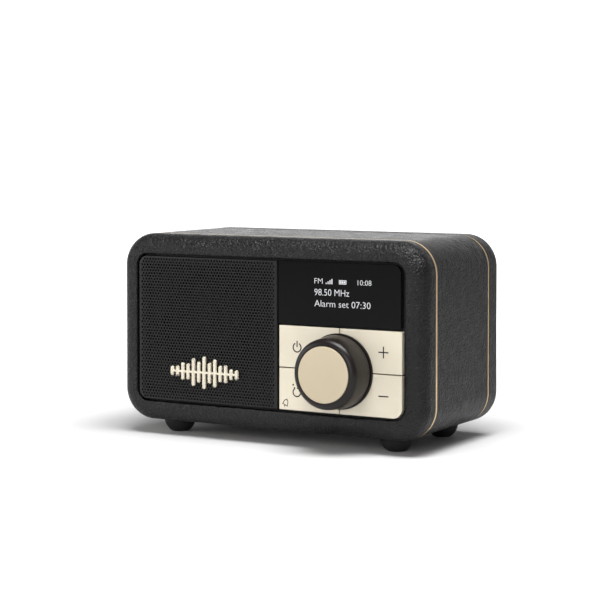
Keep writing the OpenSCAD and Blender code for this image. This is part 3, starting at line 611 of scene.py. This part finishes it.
def middle_of(node):
    lo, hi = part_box(node)
    return (lo.x + hi.x) / 2, (lo.z + hi.z) / 2


def circle(cx, cz, r, sides=48):
    return arc(cx, cz, r, 0, 360 - 360 / sides, sides - 1)


def rear_panel():
    """The moulded back, with rounded edges round its vents, sockets and sunk screws."""
    lo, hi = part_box("rear_panel")
    thick = 2.5 * MM
    corner = 5 * MM
    usb_x, socket_z = middle_of("usb_socket")
    phones_x = middle_of("headphone_socket")[0]
    holes = [stadium(usb_x, socket_z, 10.4 * MM, 4.6 * MM), circle(phones_x, socket_z, 3.4 * MM),
             circle((usb_x + phones_x) / 2, socket_z, 0.7 * MM, 20), circle(*middle_of("aerial_socket"), 6 * MM)]
    vent_x, vent_z = middle_of("radiator_surround")
    radiator_w, radiator_tall = 60 * MM, 34 * MM
    for i in range(-3, 4):
        rise = i * 4.6 * MM
        span = radiator_w - radiator_tall + 2 * math.sqrt((radiator_tall / 2) ** 2 - rise ** 2) - 5 * MM
        holes.append(stadium(vent_x, vent_z + rise, span, 2.2 * MM))
    screws_lo, screws_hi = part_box("rear_panel_screws")
    head_r = 2.1 * MM
    for x in (screws_lo.x + head_r, screws_hi.x - head_r):
        for z in (screws_lo.z + head_r, screws_hi.z - head_r):
            holes.append(circle(x, z, 2.3 * MM, 32))
    outline = rounded(rectangle(lo.x, hi.x, lo.z, hi.z, corner))
    piece = plate("rear_panel_moulded", outline, holes, hi.y, hi.y - thick, 0.3 * MM, PLASTIC)
    place(piece, "cabinet", "black_plastic", "rear_panel")


def soften(width_mm, *names):
    """Rounds the sharp edges of CAD nodes a little, as moulding and turning leave them."""
    for name in names:
        node = frame["nodes"][name]
        weld = node.modifiers.new("weld", "WELD")
        weld.merge_threshold = 1e-6
        edges = node.modifiers.new("edges", "BEVEL")
        edges.width = width_mm * MM
        edges.segments = 3
        edges.limit_method = "ANGLE"
        edges.angle_limit = math.radians(50)
        edges.use_clamp_overlap = False
        even_flats(node)


def soften_small_parts():
    soften(0.25, "emblem")
    soften(0.2, "foot_front_left", "foot_front_right", "foot_rear_left", "foot_rear_right")
    soften(0.15, "aerial_socket", "aerial_base", "aerial_tube_1", "aerial_rod", "headphone_socket")
    soften(0.1, "aerial_tube_2", "usb_socket", "rear_panel_screws", "foot_screws")


# ---------------------------------------------------------------- buttons

knob_lo, knob_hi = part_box("knob_face")
KNOB_X = (knob_lo.x + knob_hi.x) / 2
KNOB_Z = (knob_lo.z + knob_hi.z) / 2
BUTTON_HOLE_R = 8.6 * MM


def button(word, sx, sz):
    """A quarter of the cream block, with a softened front edge, cut out round the knob."""
    lo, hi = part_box("button_" + word)
    gap = min(abs(v - KNOB_X) for v in (lo.x, hi.x))
    far_x = max(abs(v - KNOB_X) for v in (lo.x, hi.x))
    gap_z = min(abs(v - KNOB_Z) for v in (lo.z, hi.z))
    far_z = max(abs(v - KNOB_Z) for v in (lo.z, hi.z))
    reach = math.sqrt(BUTTON_HOLE_R**2 - gap**2)
    outer_r = 4.2 * MM if word == "minus" else 0.2 * MM
    corners = [(reach, gap_z, 0), (far_x, gap_z, 0.15 * MM), (far_x, far_z, outer_r), (gap, far_z, 0.15 * MM),
               (gap, reach, 0)]
    start = math.degrees(math.acos(gap / BUTTON_HOLE_R))
    shape = rounded(corners) + arc(0, 0, BUTTON_HOLE_R, start, 90 - start, 16)[1:-1]
    outline = [(KNOB_X + sx * x, KNOB_Z + sz * z) for x, z in shape]
    name = "button_" + word
    piece = plate(name + "_cap", outline, [], lo.y, lo.y + 2.2 * MM, 0.2 * MM, IVORY)
    place(piece, word + "_button", "ivory", name)


def strokes(name, body, y, shapes):
    """Printed symbols: thin flat shapes on a button's face. Each is (outline, holes)."""
    bm = bmesh.new()
    for outer, holes in shapes:
        add_plate(bm, outer, holes, y - 0.012 * MM, y + 0.01 * MM, 0)
    place(new_object(name, bm, [INK]), body, "ivory")


def bar(x0, z0, x1, z1, width):
    """A stroke with square ends between two points, in millimetres on the face."""
    start = Vector((x0 * MM, BASE + z0 * MM))
    end = Vector((x1 * MM, BASE + z1 * MM))
    side = (end - start).orthogonal().normalized() * width * MM / 2
    return [tuple(start - side), tuple(end - side), tuple(end + side), tuple(start + side)], []


def band(cx, cz, r, a0, a1, width, steps=28):
    """A stroke along an arc."""
    x = cx * MM
    z = BASE + cz * MM
    outer = arc(x, z, (r + width / 2) * MM, a0, a1, steps)
    inner = arc(x, z, (r - width / 2) * MM, a1, a0, steps)
    return outer + inner, []


def dot(cx, cz, r):
    return arc(cx * MM, BASE + cz * MM, r * MM, 0, 345, 23), []


def tilted(shapes, x, z, degrees):
    """Turns strokes about a point of the face."""
    pivot = Vector((x * MM, BASE + z * MM))
    turn = Matrix.Rotation(math.radians(degrees), 2)
    return [([tuple(pivot + turn @ (Vector(point) - pivot)) for point in outer], holes)
            for outer, holes in shapes]


def symbols():
    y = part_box("button_power")[0].y
    pen = 0.54
    strokes("symbol_power", "power_button", y, [
        band(15.3, 36.55, 1.9, 118, 422, pen),
        bar(15.3, 36.7, 15.3, 39.4, pen),
    ])
    strokes("symbol_plus", "plus_button", y, [
        bar(53.9, 36.8, 58.5, 36.8, pen),
        bar(56.2, 36.8 + pen / 2, 56.2, 39.2, pen),
        bar(56.2, 34.4, 56.2, 36.8 - pen / 2, pen),
    ])
    strokes("symbol_minus", "minus_button", y, [bar(53.9, 18.7, 58.5, 18.7, pen)])
    thin = 0.34
    x, z = 9.4, 11.95
    bell = [
        bar(x - 1.4, z, x + 1.4, z, thin),
        band(x, z + 1.35, 0.95, 0, 180, thin, 14),
        bar(x - 1.2, z + thin / 2, x - 0.95, z + 1.35, thin),
        bar(x + 1.2, z + thin / 2, x + 0.95, z + 1.35, thin),
        dot(x, z - 0.5, 0.3),
        dot(x, z + 2.6, 0.26),
    ]
    strokes("symbol_alarm", "alarm_button", y, [
        band(15.17, 17.59, 1.8, 118, 450, pen),
        dot(14.1, 19.5, 0.32),
        dot(13.4, 20.7, 0.4),
    ] + tilted(bell, x, z, -22))


# ---------------------------------------------------------------- knob


def knob():
    """A tapered body with a wide rolled shoulder, a sunk disc in its front, and a collar behind."""
    axis = (0, -1, 0)
    centre = (KNOB_X, 0, KNOB_Z)
    lo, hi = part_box("knob_body")
    rear_r = (hi.x - lo.x) / 2
    front_r = rear_r - 0.7 * MM
    shoulder = 2.7 * MM
    disc_lo, disc_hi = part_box("knob_face")
    disc_r = (disc_hi.x - disc_lo.x) / 2
    rim = disc_r + 0.1 * MM
    rear = -hi.y
    front = -lo.y
    soft = 0.3 * MM
    side = [(rear_r - 3 * MM, rear), (rear_r - soft, rear)]
    side += arc(rear_r - soft, rear + soft, soft, -90, -3, 4)[1:]
    edge = arc(front_r - shoulder, front - shoulder, shoulder, 3, 84, 14)
    lip = arc(rim + 0.12 * MM, front - 0.12 * MM, 0.12 * MM, 90, 180, 3)
    piece = lathe("knob_body_turned", side + edge + lip + [(rim, front - 0.8 * MM)], centre, axis, KNOB, 128)
    place(piece, "knob", "knob_black", "knob_body")
    face = -disc_lo.y
    bevel = 0.25 * MM
    dish = [(disc_r, face - 1.0 * MM)] + arc(disc_r - bevel, face - bevel, bevel, 0, 90, 4) + [(0, face)]
    piece = lathe("knob_disc_brushed", dish, centre, axis, DISC, 128)
    place(piece, "knob", "disc_metal", "knob_face")
    lo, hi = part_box("knob_collar")
    radius = (hi.x - lo.x) / 2
    bore = 6.6 * MM
    ring = [(radius, -FRONT)] + arc(radius - bevel, -lo.y - bevel, bevel, 0, 90, 4)
    ring += [(bore, -lo.y), (bore, -FRONT)]
    piece = lathe("knob_collar_turned", ring, centre, axis, KNOB, 128)
    place(piece, "cabinet", "knob_black", "knob_collar")


# ---------------------------------------------------------------- studio


def camera():
    """The photograph's viewpoint, with the lens shift that keeps its verticals upright."""
    data = bpy.data.cameras.new("camera")
    data.lens = 111.65
    data.sensor_width = 36
    data.shift_y = -0.1803
    data.clip_end = 50
    eye = Vector((0.40665, -0.67497 + FRONT, BASE + 0.12551))
    yaw = math.radians(30.0)
    pitch = math.radians(-1.72)
    look = Vector((-math.sin(yaw) * math.cos(pitch), math.cos(yaw) * math.cos(pitch), math.sin(pitch)))
    holder = bpy.data.objects.new("camera", data)
    holder.location = eye
    holder.rotation_euler = look.to_track_quat("-Z", "Y").to_euler()
    bpy.context.scene.collection.objects.link(holder)
    bpy.context.scene.camera = holder


WALL = 3.1
FILL = 0.13


def softbox(name, place_at, aim_at, size, power):
    data = bpy.data.lights.new(name, "AREA")
    data.shape = "RECTANGLE"
    data.size, data.size_y = size
    data.energy = power
    holder = bpy.data.objects.new(name, data)
    holder.location = place_at
    direction = Vector(aim_at) - Vector(place_at)
    holder.rotation_euler = direction.to_track_quat("-Z", "Y").to_euler()
    bpy.context.scene.collection.objects.link(holder)


def sky():
    """A pale studio whose wall glows low behind the object; the camera itself sees an even backdrop."""
    world = bpy.data.worlds.new("studio")
    world.use_nodes = True
    nodes = world.node_tree.nodes
    links = world.node_tree.links

    def shade(value, low, high, at_low, at_high):
        node = nodes.new("ShaderNodeMapRange")
        node.interpolation_type = "SMOOTHSTEP"
        links.new(value, node.inputs["Value"])
        for socket, number in zip(("From Min", "From Max", "To Min", "To Max"), (low, high, at_low, at_high)):
            node.inputs[socket].default_value = number
        return node.outputs["Result"]

    sight = nodes.new("ShaderNodeTexCoord").outputs["Generated"]
    towards = nodes.new("ShaderNodeVectorMath")
    towards.operation = "DOT_PRODUCT"
    links.new(sight, towards.inputs[0])
    towards.inputs[1].default_value = (-0.5, 0.866, 0)
    way = nodes.new("ShaderNodeSeparateXYZ")
    links.new(sight, way.inputs["Vector"])
    behind = shade(towards.outputs["Value"], 0.7, 0.97, 0.0, 1.0)
    low_down = shade(way.outputs["Z"], 0.05, 0.5, 1.0, 0.12)
    glow = nodes.new("ShaderNodeMath")
    glow.operation = "MULTIPLY_ADD"
    product = nodes.new("ShaderNodeMath")
    product.operation = "MULTIPLY"
    links.new(behind, product.inputs[0])
    links.new(low_down, product.inputs[1])
    links.new(product.outputs["Value"], glow.inputs[0])
    glow.inputs[1].default_value = WALL
    glow.inputs[2].default_value = FILL
    backdrop = nodes["Background"]
    backdrop.inputs["Color"].default_value = (1, 1, 1, 1)
    backdrop.inputs["Strength"].default_value = 1.05
    fill = nodes.new("ShaderNodeBackground")
    fill.inputs["Color"].default_value = (1, 1, 1, 1)
    links.new(glow.outputs["Value"], fill.inputs["Strength"])
    rays = nodes.new("ShaderNodeLightPath")
    mix = nodes.new("ShaderNodeMixShader")
    links.new(rays.outputs["Is Camera Ray"], mix.inputs["Fac"])
    links.new(fill.outputs["Background"], mix.inputs[1])
    links.new(backdrop.outputs["Background"], mix.inputs[2])
    links.new(mix.outputs["Shader"], nodes["World Output"].inputs["Surface"])
    bpy.context.scene.world = world


def floor():
    """White paper that keeps its brightness far from the lights, so that it meets the backdrop unseen."""
    bm = bmesh.new()
    bmesh.ops.create_grid(bm, x_segments=1, y_segments=1, size=12)
    s = Shader("studio_paper", (0.62, 0.62, 0.62), 0.9, specular=0.0)
    s.bump(s.noise(30, 2), 0.01)
    reach = s.nodes.new("ShaderNodeVectorMath")
    reach.operation = "LENGTH"
    s.links.new(s.coords, reach.inputs[0])
    s.set("Emission Color", (1, 1, 1, 1))
    seen = s.nodes.new("ShaderNodeMath")
    seen.operation = "MULTIPLY"
    s.links.new(s.remap(reach.outputs["Value"], 0, 1.2, 0.08, 0.5), seen.inputs[0])
    s.links.new(s.nodes.new("ShaderNodeLightPath").outputs["Is Camera Ray"], seen.inputs[1])
    s.link(seen.outputs["Value"], "Emission Strength")
    new_object("floor", bm, [s.material])


def studio():
    bpy.context.scene.view_settings.view_transform = "Standard"
    sky()
    floor()
    aim = (0, 0, BASE + HALF_H)
    softbox("overhead", (0.2, -0.15, 0.9), aim, (0.7, 0.45), 14.5)
    softbox("front", (0.28, -1.1, 0.35), aim, (0.7, 0.5), 3.9)
    softbox("left", (-1.05, -0.6, 0.35), aim, (0.7, 0.6), 5.4)


finish_cad_nodes()
cabinet()
speaker_grille()
display_window()
display_picture()
for word, sx, sz in (("power", -1, 1), ("plus", 1, 1), ("alarm", -1, -1), ("minus", 1, -1)):
    button(word, sx, sz)
symbols()
rear_panel()
soften_small_parts()
knob()
camera()
studio()
